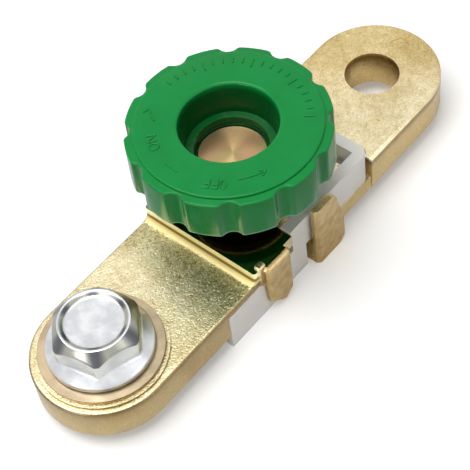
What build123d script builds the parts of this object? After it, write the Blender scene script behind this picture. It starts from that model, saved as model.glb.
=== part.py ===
from build123d import *
import math
import os

# Battery terminal disconnect switch, lying flat.
# Two plated castings are held apart by a moulded nylon insulator. A knob on a threaded stud
# closes the switch: the stud screws into the lower casting and its flange, through a
# captive washer, bears on the machined pad of the upper casting.
# Millimetres. +X runs from the terminal bolt to the cable hole, +Z is up and Z = 0 is the
# surface that the switch lies on. The origin is the middle of the footprint.

os.makedirs("parts", exist_ok=True)

# Both bars
bar_width = 25.4
bolt_to_knob = 36.8
knob_to_hole = 39.5
cable_end_margin = 0.6
edge_round = 0.5
battery_bar_thick = 7.0
cable_bar_thick = 7.86
foot_depth = 3.0

# Battery bar: how far its features reach from the knob's axis, and its pad, ridge and bosses
pad_left = 11.3
pad_right = 1.0
pad_rise = 3.0
skin_thick = 1.35
bead_radius = 0.95
bead_proud = 0.25
cove_radius = 1.4
tongue_reach = 18.4
tongue_thick = 2.6
terminal_boss_rise = 0.55
terminal_boss_ring = 0.65

# Side tabs of both bars
tab_stand_out = 1.5
tab_thick = 1.3
tab_bend_radius = 1.2
tab_corner_radius = 0.7
tab_edge_bevel = 0.6
down_tab_right = 2.9
down_tab_point_run = 2.7
down_tab_point_rise = 2.0
down_tab_slope_run = 3.3
down_tab_slope_rise = 3.0
down_tab_taper = 0.5
ear_length = 1.9
ear_width = 1.5
ear_rise = 0.6
ear_round = 0.5
up_tab_top_width = 4.9
up_tab_corner_run = 0.8
up_tab_corner_drop = 1.0
up_tab_taper = 1.9
up_tab_rise = 1.55
up_tab_root_rise = 4.9

# Cable bar: plate, tongue, foot, shoulder pocket, hole and the marks of the mould's ejectors
plate_thick = 3.2
plate_inset = 0.2
lower_tongue_reach = 16.4
foot_right = 11.3
pocket_depth = 1.5
pocket_wall = 1.8
pocket_corner_radius = 1.4
cable_hole_radius = 5.25
ejector_mark_radius = 1.85
ejector_mark_depth = 0.12

# Insulator moulding
web_thick = 1.6
wall_thick = 2.2
tray_side_gap = 0.6
tray_rim_rise = 7.25
tray_corner_radius = 2.0
tongue_end_gap = 1.5
lower_tongue_end_gap = 0.2
contact_boss_gap = 1.7
base_right = 3.0
base_end_gap = 1.1
base_step_left = 2.0
sleeve_wall = 1.5
sleeve_drop = 0.5
seat_clearance = 0.1

# Stud and captive washer
thread_radius = 4.7625
thread_pitch = 1.5875
turns_to_close = 2.0
thread_fit = 0.06
sleeve_clearance = 0.5
stud_floor_gap = 0.4
undercut_radius = 4.0
undercut_slack = 0.3
flange_radius = 8.8
flange_thick = 2.0
washer_radius = 8.3
washer_thick = 1.2
washer_fit = 0.08
insert_across_flats = 11.1
disc_radius = 6.05
disc_thick = 0.8
disc_drop = 1.75
disc_ring_gap = 0.45

# Knob
knob_base_radius = 17.8
knob_top_radius = 17.7
knob_height = 8.4
knob_clear_height = 12.7
lobe_count = 12
flute_radius = 2.0
flute_depth = 1.0
flute_shoulder_radius = 0.9
flute_angle = 10.0
crown_setback = 0.5
crown_rise = 0.7
crown_edge_round = 0.3
rim_round = 0.35
recess_mouth_radius = 8.65
recess_step_radius = 7.85
recess_depth = 6.5
recess_mouth_round = 0.6
hub_radius = 10.8
hub_setback = 0.3
hub_flange_gap = 0.1
rim_wall = 2.2
core_web = 2.6
rib_count = 6
rib_thick = 1.4

# Terminal bolt and its washer
bolt_radius = 4.7625
bolt_fit = 0.08
bolt_across_flats = 14.29
bolt_head_height = 7.8
bolt_crown_radius = 6.8
bolt_crown_slope = 35.0
bolt_flange_radius = 9.4
bolt_flange_thick = 1.5
bolt_flange_cone_rise = 1.3
bolt_dimple_rim = 0.5
bolt_dimple_depth = 0.55
bolt_turn = 44.0
bolt_floor_gap = 0.1
bolt_point = 0.8
terminal_washer_radius = 11.0
terminal_washer_thick = 0.75

# How far a cutting body runs past the faces that it opens
overrun = 2.0

# Places along X
eye_radius = bar_width / 2
half_length = eye_radius + (bolt_to_knob + knob_to_hole + cable_end_margin) / 2
bolt_x = eye_radius - half_length
knob_x = bolt_x + bolt_to_knob
hole_x = knob_x + knob_to_hole

# Heights above the surface
bar_underside = foot_depth
battery_bar_top = bar_underside + battery_bar_thick
cable_bar_top = bar_underside + cable_bar_thick
pad_top = battery_bar_top + pad_rise
plate_top = bar_underside + plate_thick
tongue_underside = plate_top + web_thick
tongue_top = tongue_underside + tongue_thick
skin_underside = battery_bar_top - skin_thick
tray_rim = plate_top + tray_rim_rise
up_tab_top = tray_rim + up_tab_rise
travel = turns_to_close * thread_pitch
washer_underside = pad_top + travel
flange_underside = washer_underside + washer_thick
flange_top = flange_underside + flange_thick
hub_underside = flange_underside + hub_setback
knob_underside = pad_top + knob_clear_height
knob_top = knob_underside + knob_height
rim_top = knob_top - crown_rise
recess_step = knob_top - recess_depth
disc_top = recess_step - disc_drop
terminal_boss_top = battery_bar_top + terminal_boss_rise
terminal_washer_top = terminal_boss_top + terminal_washer_thick

# Half widths and radii that pieces share
tab_outer = eye_radius + tab_stand_out
tab_inner = tab_outer - tab_thick
base_half_width = tab_inner - seat_clearance
tray_half_width = tab_inner - tray_side_gap
cavity_half_width = tray_half_width - wall_thick
tongue_half_width = cavity_half_width - seat_clearance
contact_boss_radius = cavity_half_width - contact_boss_gap
plate_half_width = eye_radius - plate_inset
sleeve_bore = thread_radius + sleeve_clearance
sleeve_radius = sleeve_bore + sleeve_wall
crown_radius = knob_top_radius - flute_depth - crown_setback
bolt_dimple_radius = bolt_crown_radius - bolt_dimple_rim

# Places along X that pieces share
seat = knob_x - lower_tongue_reach - lower_tongue_end_gap - wall_thick - seat_clearance
tray_end = knob_x + tongue_reach + tongue_end_gap + wall_thick
shoulder = tray_end + seat_clearance
plate_left = knob_x + base_right + base_end_gap
down_tab_end = knob_x - down_tab_right - down_tab_point_run - down_tab_slope_run - down_tab_taper


def block(x_low, x_high, half_width, z_low, z_high):
    """A block between two places along X, as wide on both sides of the middle."""
    middle = Pos((x_low + x_high) / 2, 0, (z_low + z_high) / 2)
    return middle * Box(x_high - x_low, 2 * half_width, z_high - z_low)


def rod(x, radius, z_low, z_high):
    """An upright cylinder on the centre line of the switch."""
    return Pos(x, 0, (z_low + z_high) / 2) * Cylinder(radius, z_high - z_low)


def slab(plan, z_low, z_high):
    """A plate of this plan between two heights."""
    return extrude(Pos(0, 0, z_low) * plan, z_high - z_low)


def across(side_view, half_width):
    """A body with this side view (X and Z), as wide on both sides of the middle."""
    return extrude(Plane.XZ * side_view, half_width, both=True)


def turned(x, *points):
    """A turned body on an upright axis, from points of radius and height."""
    return Pos(x, 0, 0) * revolve(Plane.XZ * Polygon(*points, align=None), Axis.Z)


def bar_plan(x_eye, x_inner):
    """The plan of a bar: a full round end, and straight sides as far as x_inner."""
    middle = Pos((x_eye + x_inner) / 2, 0)
    return Pos(x_eye, 0) * Circle(eye_radius) + middle * Rectangle(abs(x_inner - x_eye), bar_width)


def on_both_sides(piece):
    """A piece and its mirror image on the other side of the switch."""
    return piece + mirror(piece, Plane.XZ)


def at_height(edges, z):
    """Those of the edges whose middle is at this height."""
    return [edge for edge in edges if abs(edge.center().Z - z) < 0.001]


def round_bar(bar, z_top):
    """Rounds a bar's outer edges, on top and below, round its eye and along its sides."""
    outer = []
    for edge in at_height(bar.edges(), z_top) + at_height(bar.edges(), bar_underside):
        round_eye = edge.geom_type == GeomType.CIRCLE and abs(edge.radius - eye_radius) < 0.001
        along_side = abs(abs((edge @ 0.5).Y) - eye_radius) < 0.001
        if round_eye or along_side:
            outer.append(edge)
    return fillet(outer, edge_round)


def bent_tabs(side_view, section):
    """The two side tabs of a bar: what a side view and a bent cross section have in common."""
    bent = extrude(Plane.YZ * section, half_length, both=True)
    tab = bent & across(side_view, bar_width)
    outer_edges = [e for e in tab.edges() if abs(e.center().Y - tab_outer) < 0.001]
    left_edge = ShapeList(outer_edges).sort_by(Axis.X)[0]
    return on_both_sides(chamfer(left_edge, tab_edge_bevel))


def down_tabs():
    """The battery bar's tabs, bent down from the pad to a point just above the surface."""
    right = knob_x - down_tab_right
    side_view = Polygon(
        (down_tab_end, pad_top),
        (down_tab_end, skin_underside),
        (down_tab_end + down_tab_taper, down_tab_slope_rise),
        (right - down_tab_point_run, 0),
        (right, down_tab_point_rise),
        (right, pad_top),
        align=None,
    )
    side_view = fillet(side_view.vertices().sort_by(Axis.Y)[:3], tab_corner_radius)
    section = Polygon(
        (tongue_half_width, pad_top),
        (tab_outer, pad_top),
        (tab_outer, 0),
        (tab_inner, 0),
        (tab_inner, skin_underside),
        (tongue_half_width, skin_underside),
        align=None,
    )
    bend = section.vertices().group_by(Axis.Y)[-1].sort_by(Axis.X)[-1]
    return bent_tabs(side_view, fillet(bend, tab_bend_radius))


def tab_ears():
    """The lumps that stand up at the roots of the battery bar's tabs, where they were bent."""
    ear = Box(ear_length, ear_width, pad_top + ear_rise - skin_underside)
    ear = fillet(ear.edges().filter_by(Axis.Z), ear_round)
    ear = fillet(ear.faces().sort_by(Axis.Z)[-1].edges(), ear_round)
    ear_z = (pad_top + ear_rise + skin_underside) / 2
    return on_both_sides(Pos(down_tab_end, eye_radius - ear_width / 4, ear_z) * ear)


def ridge_bead():
    """The rounded bead along the left edge of the pad. Its ends are balls."""
    reach = eye_radius - bead_radius - edge_round
    bead = Rot(90, 0, 0) * Cylinder(bead_radius, 2 * reach)
    for side in (-1, 1):
        bead += Pos(0, side * reach, 0) * Sphere(bead_radius)
    return Pos(knob_x - pad_left, 0, pad_top + bead_proud - bead_radius) * bead


def battery_bar():
    """The upper casting: terminal end, ridge, machined pad, tongue and two tabs."""
    pad_start = knob_x - pad_left
    pad_end = knob_x - pad_right
    side_view = Polygon(
        (-half_length, bar_underside),
        (seat, bar_underside),
        (seat, skin_underside),
        (pad_end, skin_underside),
        (pad_end, pad_top),
        (pad_start, pad_top),
        (pad_start, battery_bar_top),
        (-half_length, battery_bar_top),
        align=None,
    )
    foot_of_ridge = side_view.vertices().sort_by_distance((pad_start, battery_bar_top))[0]
    side_view = fillet(foot_of_ridge, cove_radius)
    bar = across(side_view, eye_radius) & slab(bar_plan(bolt_x, pad_end), 0, knob_top)
    bar = round_bar(bar, battery_bar_top)
    bar += ridge_bead()
    bar += block(seat, pad_end, tongue_half_width, tongue_underside, battery_bar_top - edge_round)
    bar += block(pad_start, knob_x + tongue_reach, tongue_half_width, tongue_underside, tongue_top)
    bar += rod(knob_x, contact_boss_radius, tongue_underside, pad_top)
    bar += rod(bolt_x, terminal_washer_radius + terminal_boss_ring, bar_underside, terminal_boss_top)
    bar += down_tabs() + tab_ears()
    bar -= rod(knob_x, sleeve_radius + seat_clearance, 0, knob_top)
    bar -= rod(bolt_x, bolt_radius + bolt_fit, 0, knob_top)
    return bar


def up_tabs():
    """The cable bar's tabs, bent up from the foot outside the tray's walls."""
    corner = plate_left + up_tab_top_width + up_tab_corner_run
    right = corner + up_tab_taper
    side_view = Polygon(
        (plate_left, 0),
        (right - 2 * tab_corner_radius, 0),
        (right, 2 * tab_corner_radius),
        (right, plate_top),
        (corner, up_tab_top - up_tab_corner_drop),
        (plate_left + up_tab_top_width, up_tab_top),
        (plate_left, up_tab_top),
        align=None,
    )
    side_view = fillet(side_view.vertices().sort_by(Axis.X)[2:], tab_corner_radius)
    root_inner = plate_half_width - overrun
    section = Polygon(
        (root_inner, 0),
        (tab_outer, 0),
        (tab_outer, up_tab_top),
        (tab_inner, up_tab_top),
        (tab_inner, up_tab_root_rise),
        (root_inner, up_tab_root_rise),
        align=None,
    )
    return bent_tabs(side_view, section)


def cable_bar():
    """The lower casting: cable eye, shoulder pocket, plate, tongue, foot, boss and two tabs."""
    pocket = Rectangle(2 * (pocket_depth + overrun), 2 * (eye_radius - pocket_wall))
    pocket = fillet(pocket.vertices(), pocket_corner_radius)
    bar = slab(bar_plan(hole_x + cable_end_margin, shoulder), bar_underside, cable_bar_top)
    bar = round_bar(bar, cable_bar_top)
    bar -= slab(Pos(shoulder - overrun, 0) * pocket, plate_top, cable_bar_top + overrun)
    bar += block(plate_left, shoulder + overrun, plate_half_width, bar_underside, plate_top)
    bar += block(
        knob_x - lower_tongue_reach, plate_left + overrun, tongue_half_width, bar_underside, plate_top
    )
    bar += block(plate_left, knob_x + foot_right, plate_half_width, 0, plate_top)
    bar += rod(knob_x, contact_boss_radius, 0, plate_top)
    bar += up_tabs()
    bar -= rod(knob_x, thread_radius + thread_fit, -overrun, plate_top + overrun)
    bar -= rod(hole_x, cable_hole_radius, 0, cable_bar_top + overrun)
    for mark_x, mark_y in ejector_marks():
        mark = Pos(mark_x, mark_y, cable_bar_top) * Cylinder(ejector_mark_radius, 2 * ejector_mark_depth)
        bar -= mark
    return bar


def ejector_marks():
    """Where the mould's ejector pins pressed: beside the shoulder, and beyond the cable hole."""
    inset = (eye_radius + cable_hole_radius) / 2
    beside_shoulder = (shoulder + pocket_depth + hole_x - cable_hole_radius) / 2
    return [(beside_shoulder, edge_round - inset), (hole_x + inset, 0)]


def insulator():
    """The moulding: a tray on top for the tongue, a base below for the lower tongue.

    One web joins them between the two bars, and a sleeve stands on it round the stud."""
    tray_left = knob_x - pad_right + seat_clearance
    base_left = seat + seat_clearance
    step = knob_x - base_step_left
    tray_plan = Rectangle(tray_end - tray_left, 2 * tray_half_width)
    tray_plan = Pos((tray_left + tray_end) / 2, 0) * tray_plan
    tray_plan = fillet(tray_plan.vertices().group_by(Axis.X)[-1], tray_corner_radius)
    body = slab(tray_plan, plate_top, tray_rim)
    body += block(base_left, step, base_half_width, 0, skin_underside)
    body += block(step - overrun, knob_x + base_right, tray_half_width, 0, tongue_underside)
    body -= block(
        base_left - overrun, tray_end - wall_thick, cavity_half_width, tongue_underside, knob_top
    )
    body -= block(base_left + wall_thick, tray_end + overrun, cavity_half_width, -overrun, plate_top)
    body += rod(knob_x, sleeve_radius, plate_top, pad_top - sleeve_drop)
    body -= rod(knob_x, sleeve_bore, 0, knob_top)
    return body


def stud():
    """The turned stud: disc and hexagon held in the knob, flange, undercut and thread."""
    stud_end = stud_floor_gap + travel
    undercut_end = washer_underside - undercut_slack
    body = rod(knob_x, thread_radius, stud_end, undercut_end)
    body = chamfer(at_height(body.edges(), stud_end), thread_pitch / 2)
    body += rod(knob_x, undercut_radius, undercut_end, flange_underside)
    body += rod(knob_x, flange_radius, flange_underside, flange_top)
    hexagon = Pos(knob_x, 0) * RegularPolygon(insert_across_flats / 2, 6, major_radius=False)
    body += slab(hexagon, flange_top, disc_top - disc_thick)
    body += rod(knob_x, disc_radius, disc_top - disc_thick, disc_top)
    return body


def contact_washer():
    """The washer that is captive under the stud's flange and doesn't turn with it."""
    washer = rod(knob_x, washer_radius, washer_underside, flange_underside)
    return washer - rod(knob_x, undercut_radius + washer_fit, 0, knob_top)


def fluted_plan(radius):
    """The plan of the knob: wide round lobes with a narrow flute between each two."""
    plan = Circle(radius)
    reach = radius - flute_depth + flute_radius
    for index in range(lobe_count):
        angle = math.radians(flute_angle + 360 / lobe_count * index)
        plan -= Pos(reach * math.cos(angle), reach * math.sin(angle)) * Circle(flute_radius)
    return fillet(plan.vertices(), flute_shoulder_radius)


def knob_pockets():
    """The cored ring on the knob's underside, left whole where the ribs are."""
    outer = knob_top_radius - flute_depth - rim_wall
    ring = rod(0, outer, knob_underside - overrun, rim_top - core_web)
    ring -= rod(0, hub_radius, 0, knob_top)
    for index in range(rib_count):
        rib = Pos(outer, 0, knob_top / 2) * Box(2 * outer, rib_thick, knob_top)
        ring -= Rot(0, 0, flute_angle + 360 / rib_count * index) * rib
    return ring


def knob():
    """The moulded knob: fluted rim, raised crown, stepped recess, ribs and a hub.

    The hub reaches down round the stud's flange, and bears on the flange's upper face."""
    lower = Pos(0, 0, knob_underside) * fluted_plan(knob_base_radius)
    upper = Pos(0, 0, rim_top) * fluted_plan(knob_top_radius)
    body = loft([lower, upper])
    body = fillet(body.faces().sort_by(Axis.Z)[-1].edges(), rim_round)
    crown = rod(0, crown_radius, knob_underside + overrun, knob_top)
    body += fillet(at_height(crown.edges(), knob_top), crown_edge_round)
    body += rod(0, hub_radius, hub_underside, knob_underside + overrun)
    body -= rod(0, flange_radius + hub_flange_gap, hub_underside - overrun, flange_top)
    body -= knob_pockets()
    recess = turned(
        0,
        (0, disc_top - disc_thick),
        (disc_radius + disc_ring_gap, disc_top - disc_thick),
        (disc_radius + disc_ring_gap, recess_step),
        (recess_step_radius, recess_step),
        (recess_mouth_radius, knob_top),
        (0, knob_top),
    )
    body -= recess
    mouth = at_height(body.edges().filter_by(GeomType.CIRCLE), knob_top)
    body = fillet(ShapeList(mouth).sort_by(SortBy.LENGTH)[0], recess_mouth_round)
    hexagon = RegularPolygon(insert_across_flats / 2, 6, major_radius=False)
    body -= slab(hexagon, flange_top - overrun, disc_top)
    return Pos(knob_x, 0, 0) * body


def terminal_bolt():
    """The side-terminal bolt: dished hexagon head on a coned flange, and a plain shank."""
    head_base = terminal_washer_top
    head_top = head_base + bolt_head_height
    rim = head_base + bolt_flange_thick
    cone_top = rim + bolt_flange_cone_rise
    corner = bolt_across_flats / math.sqrt(3)
    slope = math.tan(math.radians(bolt_crown_slope))
    outside = corner + overrun
    hexagon = Rot(0, 0, bolt_turn) * RegularPolygon(bolt_across_flats / 2, 6, major_radius=False)
    crown = turned(
        bolt_x,
        (0, head_base),
        (outside, head_base),
        (outside, head_top - (outside - bolt_crown_radius) * slope),
        (bolt_crown_radius, head_top),
        (0, head_top),
    )
    flange = turned(
        bolt_x,
        (0, head_base),
        (bolt_flange_radius, head_base),
        (bolt_flange_radius, rim),
        (bolt_across_flats / 2, cone_top),
        (0, cone_top),
    )
    shank = rod(bolt_x, bolt_radius, bolt_floor_gap, head_base)
    shank = chamfer(at_height(shank.edges(), bolt_floor_gap), bolt_point)
    dish = (bolt_dimple_radius**2 + bolt_dimple_depth**2) / (2 * bolt_dimple_depth)
    bolt = (crown & slab(Pos(bolt_x, 0) * hexagon, head_base, head_top)) + flange + shank
    return bolt - Pos(bolt_x, 0, head_top - bolt_dimple_depth + dish) * Sphere(dish)


def terminal_washer():
    """The flat washer between the bolt's flange and the boss of the battery bar."""
    washer = rod(bolt_x, terminal_washer_radius, terminal_boss_top, terminal_washer_top)
    return washer - rod(bolt_x, bolt_radius + bolt_fit, 0, knob_top)


pieces = {
    "battery_bar": battery_bar(),
    "cable_bar": cable_bar(),
    "insulator": insulator(),
    "stud": stud(),
    "contact_washer": contact_washer(),
    "knob": knob(),
    "terminal_bolt": terminal_bolt(),
    "terminal_washer": terminal_washer(),
}

for name, piece in pieces.items():
    export_step(piece, f"parts/{name}.step")
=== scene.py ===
# %% [markdown]
# # A battery terminal disconnect switch
#
# This lesson dresses a small vehicle switch in Blender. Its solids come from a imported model, the
# frame, and already have their real sizes and places. Each gets the finish of its real material.
# Three of them are made again as finer meshes: the bolt and the stud, for their threads, and the
# knob, whose crown makes room for raised marks.

# %% Load the frame
import math
from types import SimpleNamespace

import bmesh
import bpy
from mathutils import Matrix, Vector


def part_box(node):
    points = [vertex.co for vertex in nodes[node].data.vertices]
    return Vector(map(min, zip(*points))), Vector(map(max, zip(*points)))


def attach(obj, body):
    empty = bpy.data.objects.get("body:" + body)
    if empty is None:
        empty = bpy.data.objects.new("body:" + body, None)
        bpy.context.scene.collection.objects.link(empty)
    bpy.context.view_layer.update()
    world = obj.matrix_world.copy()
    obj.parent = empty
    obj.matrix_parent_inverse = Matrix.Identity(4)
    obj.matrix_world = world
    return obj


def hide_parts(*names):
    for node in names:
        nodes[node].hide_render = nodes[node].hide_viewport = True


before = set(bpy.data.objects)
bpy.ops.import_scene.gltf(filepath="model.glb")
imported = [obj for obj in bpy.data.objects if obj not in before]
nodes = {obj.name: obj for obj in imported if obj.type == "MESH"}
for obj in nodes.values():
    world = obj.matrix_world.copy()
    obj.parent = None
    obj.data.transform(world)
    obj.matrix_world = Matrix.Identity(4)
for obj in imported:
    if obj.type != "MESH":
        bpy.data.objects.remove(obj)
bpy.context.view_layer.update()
MM = 0.001
print("solids in the frame:", ", ".join(sorted(nodes)))

# %% [markdown]
# ## Places that the frame gives
#
# Pieces and changes of finish are placed from the boxes of the solids wherever those give an axis
# or a height, so that they stay seated if the model moves. The knob turns about the middle of the
# stud's box, and the bolt about the middle of its own.

# %% Axes and heights
knob_low, knob_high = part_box("knob")
stud_low, stud_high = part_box("stud")
bolt_low, bolt_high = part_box("terminal_bolt")
contact_low, contact_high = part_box("contact_washer")
battery_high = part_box("battery_bar")[1]
knob_x = (stud_low.x + stud_high.x) / 2
bolt_x = (bolt_low.x + bolt_high.x) / 2
knob_top = knob_high.z
print("knob axis at", round(knob_x / MM, 2), "mm, bolt axis at", round(bolt_x / MM, 2), "mm")

# %% [markdown]
# ## The camera
#
# The camera looks down at about 53 degrees from the terminal end and leans a little to one side,
# as for a catalogue picture. A lens of 109 mm keeps the far end of the switch nearly as large as
# the near one. A wide lens close by would show it too, but it would swell the bolt and shrink
# the cable eye.

# %% Camera
camera_azimuth = math.radians(43.35)
camera_elevation = math.radians(52.75)
camera_roll = math.radians(-8.7)
camera_distance = 251.8 * MM
camera_target = Vector((knob_x - 5.03 * MM, -2.82 * MM, 10.0 * MM))
sensor_mm = 36.0
lens_mm = 108.87


def look_direction(azimuth, elevation):
    """The way a camera looks, when azimuth 0 is along +Y and the elevation is above the floor."""
    flat = math.cos(elevation)
    return Vector((math.sin(azimuth) * flat, math.cos(azimuth) * flat, -math.sin(elevation)))


look = look_direction(camera_azimuth, camera_elevation)
roll = Matrix.Rotation(camera_roll, 3, "Z").to_quaternion()
camera_data = bpy.data.cameras.new("camera")
camera_data.sensor_width = sensor_mm
camera_data.lens = lens_mm
camera_data.clip_start = 10.0 * MM
camera = bpy.data.objects.new("camera", camera_data)
bpy.context.scene.collection.objects.link(camera)
camera.rotation_mode = "QUATERNION"
camera.rotation_quaternion = look.to_track_quat("-Z", "Y") @ roll
camera.location = camera_target - look * camera_distance
bpy.context.scene.camera = camera
print("camera at", [round(x / MM, 1) for x in camera.location], "mm")

# %% [markdown]
# ## Colours and pattern sizes
#
# Colours are written as sRGB hex values, as a paint chart gives them. Blender works with linear
# light, so one function turns them. A texture's scale says how many of its cells fit in a metre,
# so another function works that out from the real size of a cell in millimetres.

# %% Colours and scales
def srgb(code):
    """A linear colour from a hex value such as 2A944E."""
    channels = [int(code[i:i + 2], 16) / 255 for i in (0, 2, 4)]
    linear = [c / 12.92 if c <= 0.04045 else ((c + 0.055) / 1.055) ** 2.4 for c in channels]
    return (*linear, 1.0)


def cells(size_mm):
    """The scale of a texture whose cells are this many millimetres across."""
    return 1 / (size_mm * MM)


print("E6D596 in linear light:", [round(c, 3) for c in srgb("E6D596")[:3]])
print("cells of 0.3 mm have the scale", round(cells(0.3)))

# %% [markdown]
# ## One helper for nodes
#
# A material is a small tree of nodes. One function adds any of them, with its options and with
# what feeds it, and hands back the output that the next node needs. Node groups could hide the
# parts that repeat, but then a reader couldn't see what each number does.

# %% Nodes
MATH = "ShaderNodeMath"
VECTOR = "ShaderNodeVectorMath"
RANGE = "ShaderNodeMapRange"
RAMP = "ShaderNodeValToRGB"
NOISE = "ShaderNodeTexNoise"
AXES = "ShaderNodeSeparateXYZ"
BUMP = "ShaderNodeBump"
SHADER = "ShaderNodeBsdfPrincipled"


def add(tree, kind, inputs=None, output=0, stops=(), **options):
    """Adds one node and gives back one of its outputs, or nothing if it ends the tree.

    An input is a plain value or another node's output. Stops are a colour ramp's (place, hex)."""
    made = tree.nodes.new(kind)
    for name, value in options.items():
        setattr(made, name, value)
    for socket, value in (inputs or {}).items():
        if isinstance(value, bpy.types.NodeSocket):
            tree.links.new(value, made.inputs[socket])
        else:
            made.inputs[socket].default_value = value
    for index, (position, code) in enumerate(stops):
        if index == len(made.color_ramp.elements):
            made.color_ramp.elements.new(position)
        made.color_ramp.elements[index].position = position
        made.color_ramp.elements[index].color = srgb(code)
    return made.outputs[output] if len(made.outputs) else None


def new_material(name):
    """An empty material, its node tree and the object's own coordinates, in metres."""
    material = bpy.data.materials.new(name)
    material.use_nodes = True
    tree = material.node_tree
    tree.nodes.clear()
    return material, tree, add(tree, "ShaderNodeTexCoord", output="Object")


print("the node helper is ready")

# %% [markdown]
# ## Masks and coats
#
# A mask is a number from nothing to one that says where something lies on a surface. Where
# several masks hold at once is their product, and a plain number in it weakens it. Tones are laid
# over a colour one after the other, as coats of paint or stain are, each where its mask says.
# Painted image maps would need the meshes unwrapped, and masks that are worked out from height
# and slope need nothing.

# %% Masks and coats
def overlap(tree, first, *others):
    """Where several masks hold at once. A plain number among them weakens the result."""
    for mask in others:
        first = add(tree, MATH, {0: first, 1: mask}, operation="MULTIPLY")
    return first


def coats(tree, colour, layers):
    """Lays tones over a colour. A layer is (mask, tone, how).

    A tone is a hex value or a node's output, and how is MIX for paint or MULTIPLY for stain."""
    for mask, tone, how in layers:
        tone = srgb(tone) if isinstance(tone, str) else tone
        inputs = {0: mask, 6: colour, 7: tone}
        colour = add(tree, "ShaderNodeMix", inputs, 2, data_type="RGBA", blend_type=how)
    return colour


def upward(tree):
    """How far a face looks up: one when it is level, and nothing when it is upright."""
    normal = add(tree, "ShaderNodeNewGeometry", output="True Normal")
    return add(tree, AXES, {"Vector": normal}, "Z")


def finished(material, tree, inputs):
    """Ends a material with the shader that everyone uses, fed by these inputs."""
    shader = add(tree, SHADER, inputs)
    add(tree, "ShaderNodeOutputMaterial", {"Surface": shader})
    print("made", material.name, "from", len(tree.nodes), "nodes")
    return material


print("masks and coats are ready")

# %% [markdown]
# ## Plated castings: their sizes
#
# Both bars are die castings, blasted and then plated a pale yellow. Blasting leaves a fine grain,
# whose pits hold darker plating, and its peaks are painted paler as painted glints. The real grain
# is finer than the picture can show, so it is drawn as cells a third of a millimetre across. The
# contact pad is machined after plating, and its olive tone is a painted reflection of the knob's
# green underside. The tabs are bent after plating, which dulls them. A rounded bead and a cove run
# along the ridge beside the pad, with a painted shadow in the crease between them, where the bead
# hides the cove from the light.

# %% Sizes on the castings
grain_mm = 0.3
facet_mm = 0.32
blotch_mm = 1.6
cloud_mm = 9.0
soft_edge = 0.2 * MM
bar_underside = 3.0 * MM
bar_top = 10.0 * MM
tab_root = battery_high.y - 1.4 * MM
closing_travel = 3.175 * MM
pad_height = contact_low.z - closing_travel
ridge_x = knob_x - 12.1 * MM
ridge_half = 2.1 * MM
crease_low = bar_top + 0.75 * MM
crease_high = pad_height - 1.35 * MM
print("pad at", round(pad_height / MM, 2), "mm, ridge at x =", round(ridge_x / MM, 2), "mm")

# %% [markdown]
# ## Plated castings: where each finish lies
#
# One mask finds the machined pad from its height and slope, so the same material can be rough
# beside it. Others find level faces, tabs and the ridge. A separate material for each region
# would do too, but the solids have one surface each, and their regions meet without a seam.

# %% Masks of a casting
def casting_masks(tree, place):
    """Where a casting is level, blasted, grained or bent, and how near its ridge it is."""
    x, y, z = add(tree, AXES, {"Vector": place}).node.outputs
    masks = SimpleNamespace(z=z)
    masks.level = add(tree, RANGE, {"Value": upward(tree), "From Min": 0.75, "From Max": 0.97})
    above_pad = add(tree, MATH, {0: z, 1: pad_height}, operation="SUBTRACT")
    from_pad = add(tree, MATH, {0: above_pad}, operation="ABSOLUTE")
    off_pad = {"Value": from_pad, "From Min": 0.04 * MM, "From Max": 0.05 * MM}
    sloping = add(tree, MATH, {0: 1.0, 1: masks.level}, operation="SUBTRACT")
    masks.blasted = add(tree, MATH, {0: add(tree, RANGE, off_pad), 1: sloping}, operation="MAXIMUM")
    masks.machined = add(tree, MATH, {0: 1.0, 1: masks.blasted}, operation="SUBTRACT")
    share = add(tree, RANGE, {"Value": masks.level, "To Min": 0.25, "To Max": 1.0})
    masks.grained = overlap(tree, masks.blasted, share)
    sideways = add(tree, MATH, {0: y}, operation="ABSOLUTE")
    past_root = {"Value": sideways, "From Min": tab_root, "From Max": tab_root + 0.3 * MM}
    masks.tab = add(tree, RANGE, past_root)
    to_ridge = add(tree, MATH, {0: x, 1: ridge_x}, operation="SUBTRACT")
    masks.from_ridge = add(tree, MATH, {0: to_ridge}, operation="ABSOLUTE")
    near = {"Value": masks.from_ridge, "From Min": 9.5 * MM, "From Max": 4.0 * MM}
    masks.near_ridge = add(tree, RANGE, near)
    return masks


def ridge_masks(tree, masks):
    """The ridge's cove, the crease above it and the bead above that."""
    z = masks.z
    band = {"Value": masks.from_ridge, "From Min": ridge_half, "From Max": ridge_half - 0.5 * MM}
    steps = []
    for start, end in (
        (bar_top + 0.03 * MM, bar_top + soft_edge),
        (crease_low, crease_low + soft_edge),
        (crease_high, crease_high - soft_edge),
        (crease_high, crease_high + soft_edge),
    ):
        steps.append(add(tree, RANGE, {"Value": z, "From Min": start, "From Max": end}))
    above_bar, above_cove, below_bead, on_bead = steps
    ridge = overlap(tree, add(tree, RANGE, band), above_bar, masks.blasted)
    return ridge, overlap(tree, above_cove, below_bead, ridge), overlap(tree, ridge, on_bead)


print("the crease is", round((crease_high - crease_low) / MM, 2), "mm high")
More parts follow.
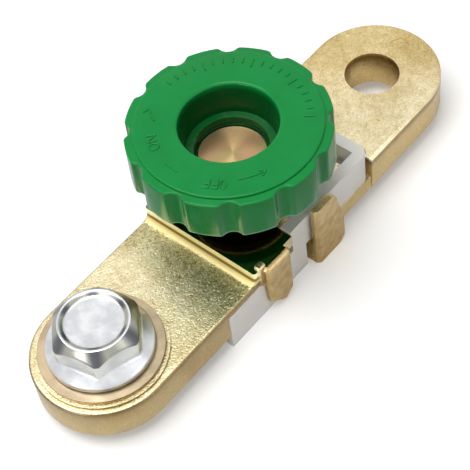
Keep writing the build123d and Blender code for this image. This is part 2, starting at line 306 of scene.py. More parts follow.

# %% [markdown]
# ## Plated castings: their colours
#
# The plating is thin, so its tone drifts and clouds over in patches. The sides are painted darker
# than the level faces, and darkest at their top, as painted shade and reflection. The cable end is
# painted darker and yellower towards its far corner, as painted shade where the light falls off.
# Single facets of the grain are painted brighter, as glints, or darker, and near the ridge, under
# the knob, the pits and the level faces are painted darkest, as painted shade.

# %% Colours of a casting
def casting_base(tree, place, masks, level_tones, painted_side_tones):
    """The plating's tone before its grain: level faces, and three tones up the sides as painted
    shade.
    """
    # Painted shade and reflection up the sides, darkest at their top.
    up_side = add(tree, RANGE, {"Value": masks.z, "From Min": bar_underside, "From Max": bar_top})
    sides = add(tree, RAMP, {"Fac": up_side}, stops=zip((0.05, 0.8, 0.97), painted_side_tones))
    blotches = add(tree, NOISE, {"Vector": place, "Scale": cells(blotch_mm), "Detail": 3.0})
    tops = add(tree, RAMP, {"Fac": blotches}, stops=zip((0.36, 0.64), level_tones))
    # Painted shade towards the far corner of the cable end, where the light falls off.
    outwards = add(tree, VECTOR, {0: place, 1: (0.69, 0.73, 0.0)}, "Value", operation="DOT_PRODUCT")
    far_corner_shade = add(tree, RANGE, {"Value": outwards, "From Min": 14.0 * MM, "From Max": 30.0 * MM})
    tops = coats(tree, tops, [(far_corner_shade, "E8DCBE", "MULTIPLY")])
    raised = {"Value": masks.z, "From Min": bar_top + soft_edge, "From Max": bar_top + 0.5 * MM}
    level_or_raised = {0: masks.level, 1: add(tree, RANGE, raised)}
    upper = add(tree, MATH, level_or_raised, operation="MAXIMUM")
    return coats(tree, sides, [(upper, tops, "MIX")])


def casting_colour(tree, place, masks, base, facet_tone):
    """Grain, clouds, tabs, ridge and pad, with painted glints, shade and reflection, over the tone.
    """
    # Bright facets are painted glints. Dark pits are grain, painted darker near the ridge as shade.
    glint_facets = add(tree, RANGE, {"Value": facet_tone, "From Min": 0.7, "From Max": 0.9})
    pitted = add(tree, RANGE, {"Value": facet_tone, "From Min": 0.4, "From Max": 0.1})
    pits_and_shade = add(tree, RANGE, {"Value": masks.near_ridge, "To Min": 0.2, "To Max": 0.52})
    clouds = add(tree, NOISE, {"Vector": place, "Scale": cells(cloud_mm), "Detail": 2.0})
    cloud_tone = add(tree, RAMP, {"Fac": clouds}, stops=[(0.35, "E6DFCF"), (0.6, "FFFFFF")])
    bends = add(tree, NOISE, {"Vector": place, "Scale": cells(blotch_mm), "Detail": 4.0})
    tab_tone = add(tree, RAMP, {"Fac": bends}, stops=[(0.35, "B29560"), (0.65, "CAB07C")])
    ridge, crease, bead = ridge_masks(tree, masks)
    layers = [
        (overlap(tree, glint_facets, masks.grained, 0.24), "F6EFD0", "MIX"),
        (overlap(tree, pitted, masks.grained, pits_and_shade), "6E6438", "MIX"),
        # Painted shade on the level faces near the ridge, under the knob.
        (overlap(tree, masks.near_ridge, masks.level), "E0E3D9", "MULTIPLY"),
        (0.8, cloud_tone, "MULTIPLY"),
        (overlap(tree, masks.tab, 0.85), tab_tone, "MIX"),
        # The ridge is painted paler as a painted sheen, the crease as a painted shadow under the
        # bead, and the bead near white as a painted highlight.
        (ridge, "E6D596", "MIX"),
        (overlap(tree, crease, 0.9), "8C7840", "MIX"),
        (bead, "FFFAD0", "MIX"),
        # The pad's olive tone is a painted reflection of the knob's green underside.
        (masks.machined, "757A54", "MIX"),
    ]
    return coats(tree, base, layers), ridge


print("plating clouds are", cloud_mm, "mm across and its blotches", blotch_mm, "mm")

# %% [markdown]
# ## Plated castings: the material
#
# Plating is metal through and through to the eye, so the shader is fully metallic. The grain
# could be modelled, but it would take millions of faces. A bump tilts the surface a little
# instead, which makes it sparkle, and it is deepest beside the ridge. The pad is nearly a mirror,
# and the ridge is duller than the blasted faces. The lower casting is given paler tones than the
# upper one, as painted light, since it shows brighter under the lamps, so each has its own tones.

# %% Casting material
def casting_material(name, level_tones, painted_side_tones):
    """Blasted and plated casting, with a machined face at the height of the pad."""
    material, tree, place = new_material(name)
    masks = casting_masks(tree, place)
    fine = add(tree, NOISE, {"Vector": place, "Scale": cells(grain_mm), "Detail": 2.0})
    facets = {"Vector": place, "Scale": cells(facet_mm)}
    facet_colour = add(tree, "ShaderNodeTexVoronoi", facets, "Color")
    facet_tone = add(tree, "ShaderNodeSeparateColor", {"Color": facet_colour})
    base = casting_base(tree, place, masks, level_tones, painted_side_tones)
    colour, ridge = casting_colour(tree, place, masks, base, facet_tone)
    relief = add(tree, MATH, {0: fine, 1: overlap(tree, facet_tone, 0.5)}, operation="ADD")
    deeper = add(tree, RANGE, {"Value": masks.near_ridge, "To Min": 0.5, "To Max": 0.9})
    strength = overlap(tree, masks.grained, deeper)
    bump = add(tree, BUMP, {"Distance": 0.13 * MM, "Height": relief, "Strength": strength})
    matt = add(tree, RANGE, {"Value": fine, "To Min": 0.2, "To Max": 0.38})
    matt = overlap(tree, matt, masks.blasted)
    rough = add(tree, MATH, {0: matt, 1: 0.12}, operation="MAXIMUM")
    rough = add(tree, MATH, {0: rough, 1: overlap(tree, ridge, 0.22)}, operation="ADD")
    inputs = {"Metallic": 1.0, "Base Color": colour, "Roughness": rough, "Normal": bump}
    return finished(material, tree, inputs)


upper_tones = ("D6C9A2", "E4D9B5"), ("C9B384", "AA9569", "857350")
# The lower casting's paler tones are painted light.
lower_tones = ("E4D6AE", "F2E6C4"), ("DCC48C", "CDB683", "9C8860")
upper_casting = casting_material("yellow_plated_casting", *upper_tones)
lower_casting = casting_material("painted_paler_plated_casting", *lower_tones)

# %% [markdown]
# ## White nylon
#
# The insulator is moulded in unfilled nylon. A plain white surface would look like chalk, but
# nylon lets a little light in, so its edges look soft. The shader's subsurface gives that. The
# mould leaves a faint grain on its dull white surface.

# %% Nylon material
def nylon_material():
    """Unfilled white nylon, as moulded."""
    material, tree, place = new_material("white_nylon")
    cloud = add(tree, NOISE, {"Vector": place, "Scale": cells(5.0), "Detail": 2.0})
    grain = add(tree, NOISE, {"Vector": place, "Scale": cells(0.6), "Detail": 2.0})
    inputs = {
        "IOR": 1.53,
        "Subsurface Weight": 0.15,
        "Subsurface Scale": 1.0 * MM,
        "Base Color": add(tree, RAMP, {"Fac": cloud}, stops=[(0.3, "EFEAE4"), (0.7, "F7F3EE")]),
        "Roughness": add(tree, RANGE, {"Value": grain, "To Min": 0.42, "To Max": 0.55}),
        "Normal": add(tree, BUMP, {"Strength": 0.2, "Distance": 0.05 * MM, "Height": grain}),
    }
    return finished(material, tree, inputs)


white_nylon = nylon_material()

# %% [markdown]
# ## Green ABS
#
# The knob is moulded in a green ABS that is coloured right through, from a polished mould. So it
# is glossy, with a slight waviness from shrinkage that bends its reflections. A pale line along its
# lower edge is a painted highlight, its recess is painted darker as painted shade, and its upright
# sides are painted darker too. These could be painted on by hand, but masks from the height and
# the distance to the axis follow the knob's form exactly.

# %% Where the knob has painted highlight and shade
rim_height = 8.4 * MM
rim_underside = knob_top - rim_height
recess_radius = 8.8 * MM


def knob_masks(tree, place, wave, dust):
    """The painted highlight along the knob's lower edge and the painted shade in its recess."""
    z = add(tree, AXES, {"Vector": place}, "Z")
    near_edge = {
        "Value": z,
        "From Min": rim_underside + 0.32 * MM,
        "From Max": rim_underside + 0.18 * MM,
    }
    on_rim = {"Value": z, "From Min": rim_underside - 0.1 * MM, "From Max": rim_underside}
    patchy = add(tree, RANGE, {"Value": dust, "To Min": 0.2, "To Max": 0.9})
    edge_highlight = overlap(tree, add(tree, RANGE, near_edge), add(tree, RANGE, on_rim), patchy)
    from_axis = add(tree, VECTOR, {0: place, 1: (knob_x, 0, 0)}, operation="SUBTRACT")
    flat_place = add(tree, VECTOR, {0: from_axis, 1: (1, 1, 0)}, operation="MULTIPLY")
    radius = add(tree, VECTOR, {0: flat_place}, "Value", operation="LENGTH")
    inside = {"Value": radius, "From Min": recess_radius + 0.1 * MM, "From Max": recess_radius}
    deep = {"Value": z, "From Min": knob_top - 0.7 * MM, "From Max": knob_top - 1.6 * MM}
    uneven = add(tree, RANGE, {"Value": wave, "To Min": 0.75, "To Max": 0.95})
    return edge_highlight, overlap(tree, add(tree, RANGE, inside), add(tree, RANGE, deep), uneven)


print("the knob's rim ends", round(rim_underside / MM, 2), "mm above the floor")

# %% Knob material
def abs_material():
    """Glossy green ABS, with painted highlight on its lower edge and painted shade in recess and
    sides.
    """
    material, tree, place = new_material("green_abs")
    wave = add(tree, NOISE, {"Vector": place, "Scale": cells(4.0), "Detail": 1.0})
    dust = add(tree, NOISE, {"Vector": place, "Scale": cells(0.5), "Detail": 2.0})
    edge_highlight, recess_shade = knob_masks(tree, place, wave, dust)
    upright = add(tree, RANGE, {"Value": upward(tree), "From Min": 0.6, "From Max": 0.3})
    green = add(tree, RAMP, {"Fac": wave}, stops=[(0.3, "07863A"), (0.7, "098C3F")])
    layers = [
        # A painted highlight along the lower edge.
        (edge_highlight, "9FD6AE", "MIX"),
        # Painted shade in the recess.
        (recess_shade, "8C9C8C", "MULTIPLY"),
        # Painted shade on the upright sides.
        (upright, "DDE0DD", "MULTIPLY"),
    ]
    inputs = {
        "IOR": 1.5,
        "Specular IOR Level": 0.2,
        "Base Color": coats(tree, green, layers),
        "Roughness": add(tree, RANGE, {"Value": dust, "To Min": 0.14, "To Max": 0.24}),
        "Normal": add(tree, BUMP, {"Strength": 0.12, "Distance": 0.05 * MM, "Height": wave}),
    }
    return finished(material, tree, inputs)


green_abs = abs_material()

# %% [markdown]
# ## Turned brass
#
# The stud is turned from brass bar. The lathe leaves rings, and their tiny ridges stretch each
# highlight across them: the end disc shows the bright spoke that every turned face has. The
# shader's anisotropy, with a tangent that runs round the axis, draws that spoke. Real rings are
# finer than a pixel, so they aren't modelled. A bump draws them coarser, 0.28 mm apart, so that
# they show at all. The wave texture already makes 20 waves in 2 pi units at a scale of one.

# %% Brass material
ring_mm = 0.2827
waves_per_unit = 20 / (2 * math.pi)


def brass_material():
    """Turned brass, with rings from the tool round the stud's axis."""
    material, tree, place = new_material("turned_brass")
    centred = add(tree, VECTOR, {0: place, 1: (knob_x, 0, 0)}, operation="SUBTRACT")
    scale = cells(ring_mm) / waves_per_unit
    wave = {"Vector": centred, "Scale": scale, "Distortion": 0.4}
    around = {"wave_type": "RINGS", "rings_direction": "Z"}
    rings = add(tree, "ShaderNodeTexWave", wave, "Fac", **around)
    stain = add(tree, NOISE, {"Vector": place, "Scale": cells(3.5), "Detail": 2.0})
    inputs = {
        "Metallic": 1.0,
        "Anisotropic": 0.9,
        "Anisotropic Rotation": 0.25,
        "Base Color": add(tree, RAMP, {"Fac": stain}, stops=[(0.35, "CBA27A"), (0.6, "BEA674")]),
        "Roughness": add(tree, RANGE, {"Value": stain, "To Min": 0.2, "To Max": 0.27}),
        "Normal": add(tree, BUMP, {"Strength": 0.15, "Distance": 0.02 * MM, "Height": rings}),
        "Tangent": add(tree, "ShaderNodeTangent", direction_type="RADIAL", axis="Z"),
    }
    return finished(material, tree, inputs)


turned_brass = brass_material()

# %% [markdown]
# ## Zinc-plated steel
#
# The bolt is forged steel with bright zinc. Zinc is bluish white, and barrel plating leaves faint
# clouds and small knocks. The forging die leaves the slopes of the bolt's head rougher. Their
# tones are painted light and shade: the slopes darker, their corners darkest, and the floor inside
# the ring lighter. The washer under the bolt has a yellow passivation, as the castings have, and
# the contact washer inside the switch is bronze that has darkened with age. Each of the three takes
# one tone on upright faces and another on level ones, which is painted light and shade. The three
# differ only in tone and gloss, so one function makes them all and adds the head's tones where
# they are asked for. Three functions would repeat nearly every line.

# %% Top of the bolt's head
first_corner = math.radians(44)


def crown_finish(tree, place, look_up, colour, shine):
    """The painted light and shade of the bolt's head, over a plain plated finish, and how far it
    shines.
    """
    x, y, z = add(tree, AXES, {"Vector": place}).node.outputs
    height = {"Value": z, "From Min": bolt_high.z - 3.0 * MM, "From Max": bolt_high.z - 2.5 * MM}
    on_crown = add(tree, RANGE, height)
    from_axis = add(tree, MATH, {0: x, 1: bolt_x}, operation="SUBTRACT")
    angle = add(tree, MATH, {0: y, 1: from_axis}, operation="ARCTAN2")
    from_corner = add(tree, MATH, {0: angle, 1: first_corner}, operation="SUBTRACT")
    wave = add(tree, MATH, {0: overlap(tree, from_corner, 6.0)}, operation="COSINE")
    at_corner = add(tree, RANGE, {"Value": wave, "From Min": -0.1, "From Max": 0.9})
    on_floor = add(tree, RANGE, {"Value": look_up, "From Min": 0.92, "From Max": 0.97})
    on_side = add(tree, RANGE, {"Value": look_up, "From Min": 0.3, "From Max": 0.1})
    # Painted shade at the corners and on the slopes, and a painted lighter floor inside the ring.
    layers = [
        (at_corner, "66676A", "MIX"),
        (on_floor, "E8EAEC", "MIX"),
        (on_side, "D6D8D6", "MIX"),
    ]
    crown_tone = coats(tree, srgb("B0B0A6"), layers)
    level = add(tree, RANGE, {"Value": look_up, "From Min": 0.85, "From Max": 0.95})
    polished = overlap(tree, on_crown, level)
    shine = add(tree, MATH, {0: polished, 1: shine}, operation="MAXIMUM")
    return coats(tree, colour, [(on_crown, crown_tone, "MIX")]), shine


print("the head's first corner is at", round(math.degrees(first_corner)), "degrees")

# %% Bolt and washer materials
def plated_material(name, upright_tone, level_tone, roughness, crowned=False):
    """Barrel-plated metal, with one tone for upright faces and one for level ones, as painted
    shade.
    """
    material, tree, place = new_material(name)
    cloud = add(tree, NOISE, {"Vector": place, "Scale": cells(3.0), "Detail": 3.0})
    knocks = add(tree, NOISE, {"Vector": place, "Scale": cells(0.7), "Detail": 3.0})
    look_up = upward(tree)
    # The upright and level tones are painted light and shade.
    colour = add(tree, RAMP, {"Fac": look_up}, stops=[(0.1, upright_tone), (0.4, level_tone)])
    shine = add(tree, RANGE, {"Value": look_up, "From Min": 0.3, "From Max": 0.05})
    if crowned:
        colour, shine = crown_finish(tree, place, look_up, colour, shine)
    clouded = add(tree, RANGE, {"Value": cloud, "From Min": 0.62, "From Max": 0.4})
    cloudy = add(tree, RANGE, {"Value": cloud, "To Min": roughness[0], "To Max": roughness[1]})
    polish = add(tree, RANGE, {"Value": shine, "To Min": 1.0, "To Max": 0.6})
    inputs = {
        "Metallic": 1.0,
        "Base Color": coats(tree, colour, [(clouded, "E9E9EA", "MULTIPLY")]),
        "Roughness": overlap(tree, cloudy, polish),
        "Normal": add(tree, BUMP, {"Strength": 0.25, "Distance": 0.06 * MM, "Height": knocks}),
    }
    return finished(material, tree, inputs)


zinc_tones = ("D6D8D6", "E0E2E4")
bright_zinc = plated_material("bright_zinc_plated_steel", *zinc_tones, (0.22, 0.4), crowned=True)
yellow_zinc = plated_material("yellow_passivated_washer", "97815A", "B4A286", (0.3, 0.42))
dark_bronze = plated_material("darkened_bronze", "3A3328", "241F18", (0.4, 0.55))

# %% [markdown]
# ## Dress the solids
#
# The solids whose form is right keep their meshes. A narrow bevel breaks their sharp edges, as
# casting and moulding do, and catches the light. The frame's faces come apart at sharp edges,
# so a weld joins them first. Both are modifiers, so the meshes below them stay as they came.

# %% Edge bevels and materials on the solids
def soften(piece, bevel_mm):
    """Welds a piece's faces and gives it small rounded edges."""
    weld = piece.modifiers.new("joined_faces", "WELD")
    weld.merge_threshold = 0.001 * MM
    bevel = piece.modifiers.new("soft_edge", "BEVEL")
    bevel.width = bevel_mm * MM
    bevel.segments = 3
    bevel.limit_method = "ANGLE"
    bevel.angle_limit = math.radians(35)
    bevel.harden_normals = True


finishes = {
    "battery_bar": (upper_casting, 0.18),
    "cable_bar": (lower_casting, 0.18),
    "insulator": (white_nylon, 0.15),
    "contact_washer": (dark_bronze, 0.08),
    "terminal_washer": (yellow_zinc, 0.1),
}
for node, (material, bevel_mm) in finishes.items():
    nodes[node].data.materials.clear()
    nodes[node].data.materials.append(material)
    soften(nodes[node], bevel_mm)
    print(node, "is", material.name)

# %% [markdown]
# ## Turned forms
#
# The bolt and the stud are built from rings of points, from the bottom up. Each ring is given as a
# rule for its radius and height at an angle, so one builder makes threads, hexagons and plain
# turned faces. Joined rings make one closed skin, as a forged and rolled bolt has. A screw
# modifier would make the thread too, but it wouldn't run out into the shank.

# %% Ring builder
ring_points = 360


def place_piece(name, data, material, body, node=None):
    """Links a mesh or curve as a piece that rides on a body. It may stand for a solid."""
    data.materials.append(material)
    piece = bpy.data.objects.new(name, data)
    bpy.context.scene.collection.objects.link(piece)
    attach(piece, body)
    if node:
        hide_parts(node)
        data.shade_smooth()
        data.set_sharp_from_angle(angle=math.radians(32))
    return piece


def skin(name, axis_x, rings):
    """A closed mesh from rings, each a rule that gives radius and height at an angle."""
    form = bmesh.new()
    rows = []
    for ring in rings:
        rows.append([])
        for step in range(ring_points):
            angle = 2 * math.pi * step / ring_points
            radius, height = ring(angle)
            point = (axis_x + radius * math.cos(angle), radius * math.sin(angle), height)
            rows[-1].append(form.verts.new(point))
    for low, high in zip(rows, rows[1:]):
        for step in range(ring_points):
            after = (step + 1) % ring_points
            form.faces.new((low[step], low[after], high[after], high[step]))
    form.faces.new(list(reversed(rows[0])))
    form.faces.new(rows[-1])
    mesh = bpy.data.meshes.new(name)
    form.to_mesh(mesh)
    form.free()
    print(name, "has", len(mesh.polygons), "faces")
    return mesh


def plain(radius, height):
    """A round ring, level all the way round."""
    return lambda angle: (radius, height)


print("each ring has", ring_points, "points")

# %% [markdown]
# ## Threads
#
# Both threads are 3/8 inch with 16 turns to the inch, cut 0.61 of the pitch deep. A bump could
# draw them, but their outline would stay straight, so they are modelled. A point's place between
# two crests follows its height and its angle, and that alone makes the helix. The lower end has a
# short point, and the upper end runs out over one pitch.

# %% Thread
shank_radius = 4.7625 * MM
pitch = 1.5875 * MM
thread_depth = 0.61 * pitch
crest_share = 0.12
flank_share = 0.7
rows_per_turn = 14
point_length = 0.8 * MM


def thread(low, high):
    """Rings of a right-hand thread between two heights, with a point at the lower end."""
    count = round((high - low) / pitch * rows_per_turn)

    def ring_at(height):
        """One ring, whose radius follows the thread's phase at each angle."""
        run_out = min(max((height - (high - pitch)) / pitch, 0), 1)
        limit = shank_radius - max(point_length - (height - low), 0)

        def ring(angle):
            phase = (height / pitch - angle / (2 * math.pi)) % 1
            from_crest = abs(phase - 0.5) * 2
            root = min(max((from_crest - crest_share) / flank_share, 0), 1)
            return min(shank_radius - thread_depth * root * (1 - run_out), limit), height

        return ring

    return [ring_at(low + (high - low) * row / count) for row in range(count + 1)]


print("the thread is", round(thread_depth / MM, 2), "mm deep")

# %% [markdown]
# ## The terminal bolt
#
# A cold-forged hexagon on a coned flange. The header leaves a raised ring round the top of the
# head and a shallow floor inside it. The corners are cut off by a cone, so each flat has an
# upper edge that curves down to its corners. A boolean cut would leave thin slivers along those
# edges, and rings that follow the hexagon don't. The thread is rolled.

# %% Rules of the bolt's head
flats = 14.29 * MM
head_height = 7.8 * MM
head_base = bolt_high.z - head_height
flange_radius = (bolt_high.x - bolt_low.x) / 2
flange_rim = head_base + 1.5 * MM
cone_rise = 1.3 * MM
shoulder_radius = 6.4 * MM
shoulder_drop = 0.27 * MM
crown_slope = math.tan(math.radians(48))
corner_share = 0.97


def hexagon(angle):
    """The distance to the side of the hexagon, with a small round at each corner."""
    turn = (angle - first_corner) % math.radians(60) - math.radians(30)
    side = flats / 2 / math.cos(turn)
    corner = flats / math.sqrt(3) * corner_share
    return min(side, corner)


def hexagon_ring(out, rule):
    """A ring that runs round the hexagon, moved outwards, at the height that the rule gives."""
    return lambda angle: (hexagon(angle) + out, rule(hexagon(angle)))


def crown(radius):
    """The height of the cone that cuts the hexagon's corners."""
    return bolt_high.z - shoulder_drop - max(radius - shoulder_radius, 0) * crown_slope


def cone(radius):
    """The height of the flange's coned top."""
    share = max(flange_radius - radius, 0) / (flange_radius - flats / 2)
    return flange_rim + cone_rise * share


print("bolt head is", round(flats / MM, 2), "mm across flats")

# %% Bolt
flange_edge = 0.3 * MM
root_gap = 0.35 * MM
bolt_rings = thread(bolt_low.z, head_base - 1.0 * MM)
bolt_rings += [
    plain(shank_radius, head_base - flange_edge),
    plain(shank_radius + flange_edge, head_base),
]
for inset_mm, rise_mm in ((0.9, 0.0), (0.3, 0.22), (0.0, 0.45)):
    bolt_rings.append(plain(flange_radius - inset_mm * MM, head_base + rise_mm * MM))
bolt_rings += [
    plain(flange_radius, flange_rim - 0.35 * MM),
    plain(flange_radius - 0.1 * MM, flange_rim - 0.1 * MM),
    plain(flange_radius - flange_edge, cone(flange_radius - flange_edge)),
    hexagon_ring(root_gap, lambda r: cone(r + root_gap)),
    hexagon_ring(0.1 * MM, lambda r: cone(r) + 0.1 * MM),
    hexagon_ring(0.0, lambda r: cone(r) + root_gap),
    hexagon_ring(0.0, lambda r: crown(r) - 0.25 * MM),
    hexagon_ring(-0.05 * MM, lambda r: crown(r) - 0.08 * MM),
    hexagon_ring(-0.2 * MM, lambda r: crown(r - 0.2 * MM)),
]
raised_ring = ((6.42, 0.27), (6.34, 0.13), (6.2, 0.03), (6.02, 0.0), (5.85, 0.03), (5.7, 0.09))
sunk_floor = ((5.4, 0.26), (5.15, 0.46), (4.95, 0.52), (4.7, 0.54), (2.5, 0.56), (0.5, 0.54))
for radius_mm, drop_mm in raised_ring + sunk_floor:
    bolt_rings.append(plain(radius_mm * MM, bolt_high.z - drop_mm * MM))
bolt_mesh = skin("forged_bolt", bolt_x, bolt_rings)
place_piece("forged_bolt", bolt_mesh, bright_zinc, "bolt", "terminal_bolt")

# %% [markdown]
# ## The stud
#
# The stud is one turned piece. Its end disc shows at the bottom of the knob's recess, its flange
# sits up inside the knob's hub, and below that come the undercut and the thread. Stacked
# cylinders would show the same steps, but one skin of rings also has the small chamfers that a
# lathe leaves. The end disc is cut into narrow rings, which keeps its shading even.

# %% Stud
disc_radius = 6.05 * MM
disc_thick = 0.8 * MM
disc_face = disc_radius - 0.12 * MM
disc_rings = 10
insert_radius = 5.55 * MM
undercut_radius = 4.0 * MM
flange_thick = 2.0 * MM
edge = 0.1 * MM
stud_flange = (stud_high.x - stud_low.x) / 2
stud_rings = thread(stud_low.z, contact_low.z - 0.3 * MM)
stud_rings += [
    plain(undercut_radius, contact_low.z - 0.05 * MM),
    plain(undercut_radius, contact_high.z),
    plain(stud_flange - edge, contact_high.z),
    plain(stud_flange, contact_high.z + edge),
    plain(stud_flange, contact_high.z + flange_thick - edge),
    plain(stud_flange - edge, contact_high.z + flange_thick),
    plain(insert_radius, contact_high.z + flange_thick),
    plain(insert_radius, stud_high.z - disc_thick),
    plain(disc_radius - 0.05 * MM, stud_high.z - disc_thick),
    plain(disc_radius, stud_high.z - disc_thick + edge),
    plain(disc_radius, stud_high.z - 0.15 * MM),
]
for part in range(disc_rings, 0, -1):
    stud_rings.append(plain(disc_face * part / disc_rings, stud_high.z))
stud_mesh = skin("turned_stud", knob_x, stud_rings)
place_piece("turned_stud", stud_mesh, turned_brass, "turn", "stud")
print("end disc is", round(2 * disc_radius / MM, 1), "mm across")

# %% [markdown]
# ## The knob
#
# The knob keeps the form of its solid, with its flutes, recess, ribs and hub. Its crown is taken
# down by a fifth of a millimetre, so that the raised marks, which stand on the crown, end level
# with the top of the solid. A frame's mesh isn't changed, so this is done on a copy.

# %% Knob body
mark_rise = 0.2 * MM
rim_top = knob_top - 0.7 * MM
knob_form = bmesh.new()
knob_form.from_mesh(nodes["knob"].data)
bmesh.ops.remove_doubles(knob_form, verts=knob_form.verts, dist=0.001 * MM)
for vertex in knob_form.verts:
    if vertex.co.z > rim_top + 0.03 * MM:
        vertex.co.z -= mark_rise
knob_mesh = bpy.data.meshes.new("moulded_knob")
knob_form.to_mesh(knob_mesh)
knob_form.free()
moulded_knob = place_piece("moulded_knob", knob_mesh, green_abs, "turn", "knob")
soften(moulded_knob, 0.2)
print("knob is", round((knob_high.x - knob_low.x) / MM, 1), "mm across")

# %% [markdown]
# ## Raised marks on the knob
#
# The mould is engraved with a ball cutter, which leaves round-topped lines: the words ON and
# OFF, two arrows and a short arc, and a row of plain ticks. A curve with a round bevel is just
# such a line. A text object would do for the words, but its letters are flat-topped and stand in
# a row, and these stand on a circle with their tops outwards. So they are drawn as strokes in
# a small box, which is then bent round the circle.

# %% Letters as strokes
mark_level = knob_top - mark_rise + 0.05 * MM
letter_high_mm = 1.75
circle_points = 24
stroke_steps = 4
turns = [2 * math.pi * k / circle_points for k in range(circle_points + 1)]
letters = {
    "O": [[(0.5 - 0.5 * math.sin(turn), 0.5 - 0.5 * math.cos(turn)) for turn in turns]],
    "N": [[(0, 0), (0, 1)], [(0, 1), (1, 0)], [(1, 0), (1, 1)]],
    "F": [[(0, 0), (0, 1)], [(0, 1), (1, 1)], [(0, 0.55), (0.8, 0.55)]],
}


def polar(radius_mm, degrees):
    """A point on the crown at a radius and an angle round the knob's axis."""
    angle = math.radians(degrees)
    radius = radius_mm * MM
    return (knob_x + radius * math.cos(angle), radius * math.sin(angle), mark_level)


def bent(stroke, base_mm, middle_degrees, start_mm, wide_mm):
    """A stroke from a letter's box, divided finely and bent round the circle."""
    middle_mm = base_mm + letter_high_mm / 2
    points = []
    for (u0, v0), (u1, v1) in zip(stroke, stroke[1:]):
        for k in range(stroke_steps + 1):
            u = u0 + (u1 - u0) * k / stroke_steps
            v = v0 + (v1 - v0) * k / stroke_steps
            turn = math.degrees((start_mm + u * wide_mm) / middle_mm)
            points.append(polar(base_mm + v * letter_high_mm, middle_degrees - turn))
    return points


def word(text, middle_degrees, base_mm, wide_mm, gap_mm):
    """The strokes of a word whose letters stand on a circle, tops outwards."""
    length_mm = len(text) * wide_mm + (len(text) - 1) * gap_mm
    strokes = []
    for index, letter in enumerate(text):
        start_mm = index * (wide_mm + gap_mm) - length_mm / 2
        for stroke in letters[letter]:
            strokes.append(bent(stroke, base_mm, middle_degrees, start_mm, wide_mm))
    return strokes


marks = word("OFF", -149.3, 12.6, 1.0, 0.4) + word("ON", 146.4, 12.25, 1.35, 0.55)
print("the words take", len(marks), "strokes")

# %% Arrows and ticks
arc_steps = 12
barb_mm = 0.65
tick_count = 20
tick_degrees = 7.2
first_tick = -50


def arc(start_mm, end_mm, start_degrees, end_degrees):
    """A curved line round the axis, which may also move outwards."""
    points = []
    for k in range(arc_steps + 1):
        radius_mm = start_mm + (end_mm - start_mm) * k / arc_steps
        degrees = start_degrees + (end_degrees - start_degrees) * k / arc_steps
        points.append(polar(radius_mm, degrees))
    return points


def arrow(start_mm, end_mm, start_degrees, end_degrees, head_degrees):
    """An arc with a head at its far end."""
    tip = polar(end_mm, end_degrees)
    back = end_degrees - math.copysign(head_degrees, end_degrees - start_degrees)
    barbs = [[tip, polar(end_mm + side, back)] for side in (-barb_mm, barb_mm)]
    return [arc(start_mm, end_mm, start_degrees, end_degrees)] + barbs


marks += arrow(12.7, 12.7, -133, -111, 4.5)
marks += arrow(12.5, 14.0, 124.6, 114, 3.5)
marks.append(arc(13.2, 13.2, 168.7, 180.5))
for tick in range(tick_count):
    degrees = first_tick + tick_degrees * tick
    inner_mm = 12.6 if tick % 5 == 0 else 13.4
    marks.append([polar(inner_mm, degrees), polar(14.5, degrees)])
print("the knob has", len(marks), "raised strokes")

# %% Marks as a bevelled curve
lines = bpy.data.curves.new("raised_marks", "CURVE")
lines.dimensions = "3D"
lines.bevel_depth = 0.14 * MM
lines.bevel_resolution = 3
lines.use_fill_caps = True
for stroke in marks:
    spline = lines.splines.new("POLY")
    spline.points.add(len(stroke) - 1)
    for point, spot in zip(spline.points, stroke):
        point.co = (*spot, 1)
place_piece("raised_marks", lines, green_abs, "turn")
print("each line is", round(2 * lines.bevel_depth / MM, 2), "mm wide")

# %% [markdown]
# ## The floor and the backdrop
#
# A catalogue picture stands on a white sweep under large soft lights. A curved sheet could be
# modelled, but a flat board that fades into a white backdrop looks the same and is simpler. The
# floor keeps the soft shadow that seats the switch. What the camera and the metal see of it is
# plain white, but the light that it throws back up is kept low, so that the undersides stay
# dark. To the camera alone it glows a little, and more with distance, which hides where it ends.

# %% Floor
def seen_plainly(tree):
    """One for rays from the camera, a gloss or a clear piece, and nothing for stray light."""
    rays = add(tree, "ShaderNodeLightPath").node.outputs
    plainly = rays["Is Camera Ray"]
    for kind in ("Is Glossy Ray", "Is Transmission Ray"):
        plainly = add(tree, MATH, {0: plainly, 1: rays[kind]}, operation="MAXIMUM")
    return plainly


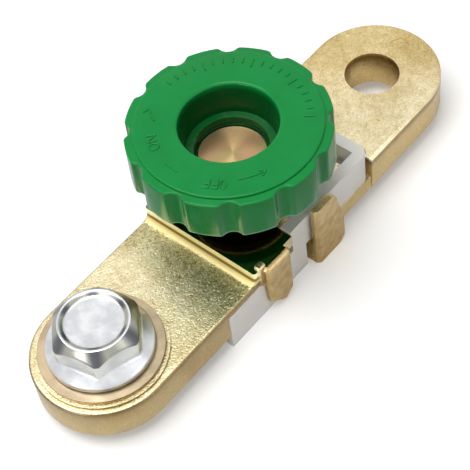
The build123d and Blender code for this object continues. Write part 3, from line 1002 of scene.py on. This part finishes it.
def floor_material():
    """A matt board, white to the camera and in reflections, and greyer to stray light."""
    material, tree, place = new_material("white_sweep")
    board = add(tree, RAMP, {"Fac": seen_plainly(tree)}, stops=[(0.0, "CACACA"), (1.0, "FBFBFB")])
    reach = add(tree, VECTOR, {0: place}, "Value", operation="LENGTH")
    far = {"Value": reach, "From Min": 0.15, "From Max": 0.6, "To Min": 0.2, "To Max": 0.75}
    glow = add(tree, RANGE, far)
    camera_only = add(tree, "ShaderNodeLightPath", output="Is Camera Ray")
    inputs = {
        "Roughness": 0.9,
        "Emission Color": (1, 1, 1, 1),
        "Base Color": board,
        "Emission Strength": overlap(tree, camera_only, glow),
    }
    return finished(material, tree, inputs)


floor_half = 2.0
floor_mesh = bpy.data.meshes.new("floor")
floor_form = bmesh.new()
bmesh.ops.create_grid(floor_form, x_segments=1, y_segments=1, size=floor_half)
floor_form.to_mesh(floor_mesh)
floor_form.free()
floor_mesh.materials.append(floor_material())
floor = bpy.data.objects.new("floor", floor_mesh)
bpy.context.scene.collection.objects.link(floor)
print("the floor is", 2 * floor_half, "m across")

# %% [markdown]
# ## The lights
#
# A large softbox above and behind lights the level faces. It stands clear of where the bolt's top
# would mirror it, or that top would burn out. A small one at the terminal end draws the edges
# there, and a weak one in front opens the near sides. A sky picture would light the metal more
# richly, but it would also tint it.

# %% Lights and world
def soft_light(name, place, aim, size, power):
    """A square softbox, its size in metres and its power in watts, that points at a place."""
    data = bpy.data.lights.new(name, "AREA")
    data.size = size
    data.energy = power
    light = bpy.data.objects.new(name, data)
    light.location = place
    light.rotation_mode = "QUATERNION"
    light.rotation_quaternion = (Vector(aim) - Vector(place)).to_track_quat("-Z", "Y")
    bpy.context.scene.collection.objects.link(light)


soft_light("key_softbox", (-0.14, 0.08, 0.6), (0, 0, 0), 0.5, 3.3)
soft_light("fill_softbox", (-0.6, -0.05, 0.13), (0, 0, 0.01), 0.2, 0.6)
soft_light("front_softbox", (0.15, -0.6, 0.22), (0, 0, 0.01), 0.4, 0.5)

world = bpy.data.worlds.new("studio")
bpy.context.scene.world = world
world.use_nodes = True
sky = world.node_tree
sky.nodes.clear()
sky_strength = add(sky, RANGE, {"Value": seen_plainly(sky), "To Min": 0.25, "To Max": 1.0})
background = add(sky, "ShaderNodeBackground", {"Color": (1, 1, 1, 1), "Strength": sky_strength})
add(sky, "ShaderNodeOutputWorld", {"Surface": background})
bpy.context.scene.view_settings.view_transform = "Standard"
